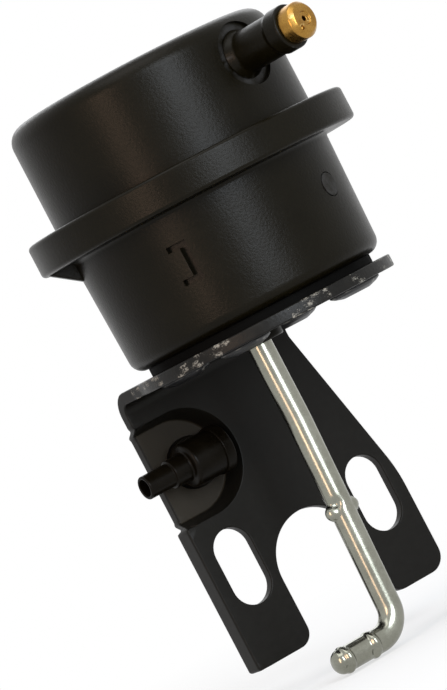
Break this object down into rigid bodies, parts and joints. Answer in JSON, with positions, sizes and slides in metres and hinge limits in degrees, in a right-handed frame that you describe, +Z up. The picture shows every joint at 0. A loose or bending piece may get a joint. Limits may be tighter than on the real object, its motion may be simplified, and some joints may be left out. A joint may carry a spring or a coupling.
{
  "type": "supercharger bypass valve actuator",
  "caption": "Vacuum canister with a stepped rim on a folded, slotted bracket, with a side nipple, a lower signal port and a bent sliding control rod.",
  "frame": {"origin": "on the bracket's rear seat face, midway between the two slots", "axes": "+Z up along the canister's axis and the rod's travel, +X to the right when looking at the bracket's front, +Y to the rear, out of the seat face"},
  "size_m": [0.064, 0.0736, 0.1162],
  "materials": {
    "black_paint": "satin black paint on pressed steel",
    "black_plastic": "moulded black plastic",
    "brass": "turned",
    "rubber": "moulded",
    "plated_steel": "bright zinc plating",
    "dark_steel": "black-coated screws",
    "spring_steel": "drawn wire",
    "bush_plastic": "natural acetal",
    "felt": "oiled felt"
  },
  "bodies": {
    "housing": {"bracket": "black_paint", "lower_shell": "black_plastic", "upper_shell": "black_plastic", "restrictor_jet": "brass", "base_gasket": "rubber", "canister_screws": "dark_steel", "rod_bush": "bush_plastic", "felt_wiper": "felt", "wiper_keeper": "plated_steel", "stop_bumper": "rubber", "diaphragm": "rubber", "spring_seat": "plated_steel", "return_spring": "spring_steel", "port_elbow": "black_plastic", "port_gasket": "rubber", "port_clip": "spring_steel"},
    "rod_assembly": {"rod": "plated_steel", "piston": "black_plastic", "backing_plate": "plated_steel", "rivet_washer": "plated_steel"}
  },
  "joints": [
    {"name": "rod_slide", "type": "slide", "parent": "housing", "child": "rod_assembly", "axis": [0, 0, 1], "range_m": [0, 0.0125], "stiffness_N_per_m": 400, "springref_m": -0.03, "deforming": ["return_spring", "diaphragm"]}
  ]
}
